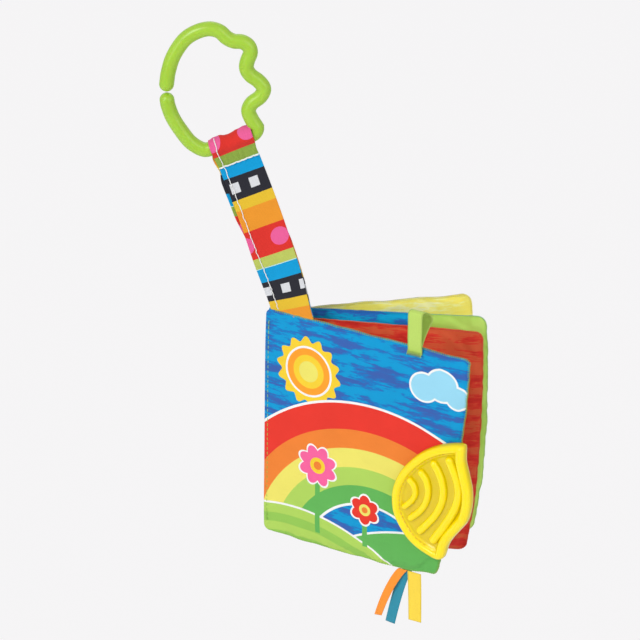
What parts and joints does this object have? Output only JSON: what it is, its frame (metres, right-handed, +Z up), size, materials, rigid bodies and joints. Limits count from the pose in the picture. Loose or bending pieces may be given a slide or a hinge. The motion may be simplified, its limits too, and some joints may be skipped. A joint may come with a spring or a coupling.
{
  "type": "crinkle cloth book",
  "caption": "Padded cloth book with crinkle covers, a teether, tag loop and tail ribbons, hung by a printed strap from a plastic link ring.",
  "frame": {"origin": "the hanging point on the inner side of the link ring's top", "axes": "+Z up while the book hangs, -Y towards the viewer of the front cover, +X from the spine to the fore edge"},
  "size_m": [0.1702, 0.1015, 0.3276],
  "materials": {
    "back_cover_crinkle_film": "thin clear crinkle film",
    "back_cover_edge_thread": "overlocked thread",
    "back_cover_inner_panel": "printed satin weave, pale yellow",
    "back_cover_outer_panel": "printed satin weave, blue and cyan",
    "blue_leaf_back_panel": "printed satin weave, blue",
    "blue_leaf_edge_thread": "overlocked thread",
    "blue_leaf_front_panel": "printed satin weave, blue and light green",
    "blue_leaf_wadding": "thin polyester wadding",
    "front_cover_crinkle_film": "thin clear crinkle film",
    "front_cover_edge_thread": "overlocked thread",
    "front_cover_inner_panel": "printed satin weave, red and orange",
    "front_cover_outer_panel": "printed satin weave, blue and cyan",
    "link_ring": "satin moulded lime plastic",
    "orange_tail": "satin ribbon",
    "red_leaf_back_panel": "printed satin weave, orange",
    "red_leaf_edge_thread": "overlocked thread",
    "red_leaf_front_panel": "printed satin weave, red and orange",
    "red_leaf_wadding": "thin polyester wadding",
    "ribbed_teether": "glossy soft yellow plastic",
    "spine_seam": "topstitch thread",
    "strap": "printed ribbon with coloured bands, dots and squares",
    "strap_cross_seam": "white topstitch thread",
    "strap_edge_seam": "white topstitch thread",
    "tag_bar_tack": "bar tacked thread",
    "tag_loop": "grosgrain ribbon",
    "teal_tail": "satin ribbon",
    "teether_seam": "yellow topstitch thread",
    "yellow_tail": "satin ribbon"
  },
  "bodies": {
    "link_ring": {"link_ring": "link_ring"},
    "strap": {"strap": "strap", "strap_cross_seam": "strap_cross_seam", "strap_edge_seam": "strap_edge_seam"},
    "front_cover": {"front_cover_crinkle_film": "front_cover_crinkle_film", "front_cover_edge_thread": "front_cover_edge_thread", "front_cover_inner_panel": "front_cover_inner_panel", "front_cover_outer_panel": "front_cover_outer_panel", "spine_seam": "spine_seam"},
    "red_leaf": {"red_leaf_back_panel": "red_leaf_back_panel", "red_leaf_edge_thread": "red_leaf_edge_thread", "red_leaf_front_panel": "red_leaf_front_panel", "red_leaf_wadding": "red_leaf_wadding"},
    "blue_leaf": {"blue_leaf_back_panel": "blue_leaf_back_panel", "blue_leaf_edge_thread": "blue_leaf_edge_thread", "blue_leaf_front_panel": "blue_leaf_front_panel", "blue_leaf_wadding": "blue_leaf_wadding"},
    "back_cover": {"back_cover_crinkle_film": "back_cover_crinkle_film", "back_cover_edge_thread": "back_cover_edge_thread", "back_cover_inner_panel": "back_cover_inner_panel", "back_cover_outer_panel": "back_cover_outer_panel"},
    "teether": {"ribbed_teether": "ribbed_teether", "teether_seam": "teether_seam"},
    "tag_loop": {"tag_loop": "tag_loop", "tag_bar_tack": "tag_bar_tack"},
    "teal_tail": {"teal_tail": "teal_tail"},
    "orange_tail": {"orange_tail": "orange_tail"},
    "yellow_tail": {"yellow_tail": "yellow_tail"}
  },
  "joints": [
    {"name": "strap_swing", "type": "hinge", "parent": "link_ring", "child": "strap", "pos_m": [0.01061, 0, -0.05677], "axis": [0.9397, 0, 0.342], "range_deg": [-100, 100]},
    {"name": "book_swing", "type": "hinge", "parent": "strap", "child": "front_cover", "pos_m": [0.02694, 0.00381, -0.15138], "axis": [0.8616, -0.5075, 0], "range_deg": [-60, 60]},
    {"name": "red_leaf_turn", "type": "hinge", "parent": "front_cover", "child": "red_leaf", "pos_m": [0.02755, 0.00725, -0.15588], "axis": [0, 0, 1], "range_deg": [-19.5, 95]},
    {"name": "blue_leaf_turn", "type": "hinge", "parent": "red_leaf", "child": "blue_leaf", "pos_m": [0.02816, 0.0107, -0.15388], "axis": [0, 0, 1], "range_deg": [-3.3, 80]},
    {"name": "back_cover_turn", "type": "hinge", "parent": "blue_leaf", "child": "back_cover", "pos_m": [0.02877, 0.01414, -0.15738], "axis": [0, 0, 1], "range_deg": [-16.6, 75]},
    {"name": "teether_lift", "type": "hinge", "parent": "front_cover", "child": "teether", "pos_m": [0.09446, -0.038, -0.19768], "axis": [0, 0, -1], "range_deg": [0, 45], "stiffness_Nm_per_rad": 0.005},
    {"name": "tag_fold", "type": "hinge", "parent": "front_cover", "child": "tag_loop", "pos_m": [0.10048, -0.04079, -0.15488], "axis": [0.8616, -0.5075, 0], "range_deg": [0, 80], "stiffness_Nm_per_rad": 0.002},
    {"name": "teal_tail_swing", "type": "hinge", "parent": "front_cover", "child": "teal_tail", "pos_m": [0.02694, 0.00381, -0.28388], "axis": [-0.8616, 0.5075, 0], "range_deg": [-12, 60]},
    {"name": "orange_tail_swing", "type": "hinge", "parent": "teal_tail", "child": "orange_tail", "pos_m": [0.02694, 0.00381, -0.28388], "axis": [-0.8616, 0.5075, 0], "range_deg": [0, 35]},
    {"name": "yellow_tail_swing", "type": "hinge", "parent": "teal_tail", "child": "yellow_tail", "pos_m": [0.02694, 0.00381, -0.28388], "axis": [-0.8616, 0.5075, 0], "range_deg": [0, 35]}
  ]
}
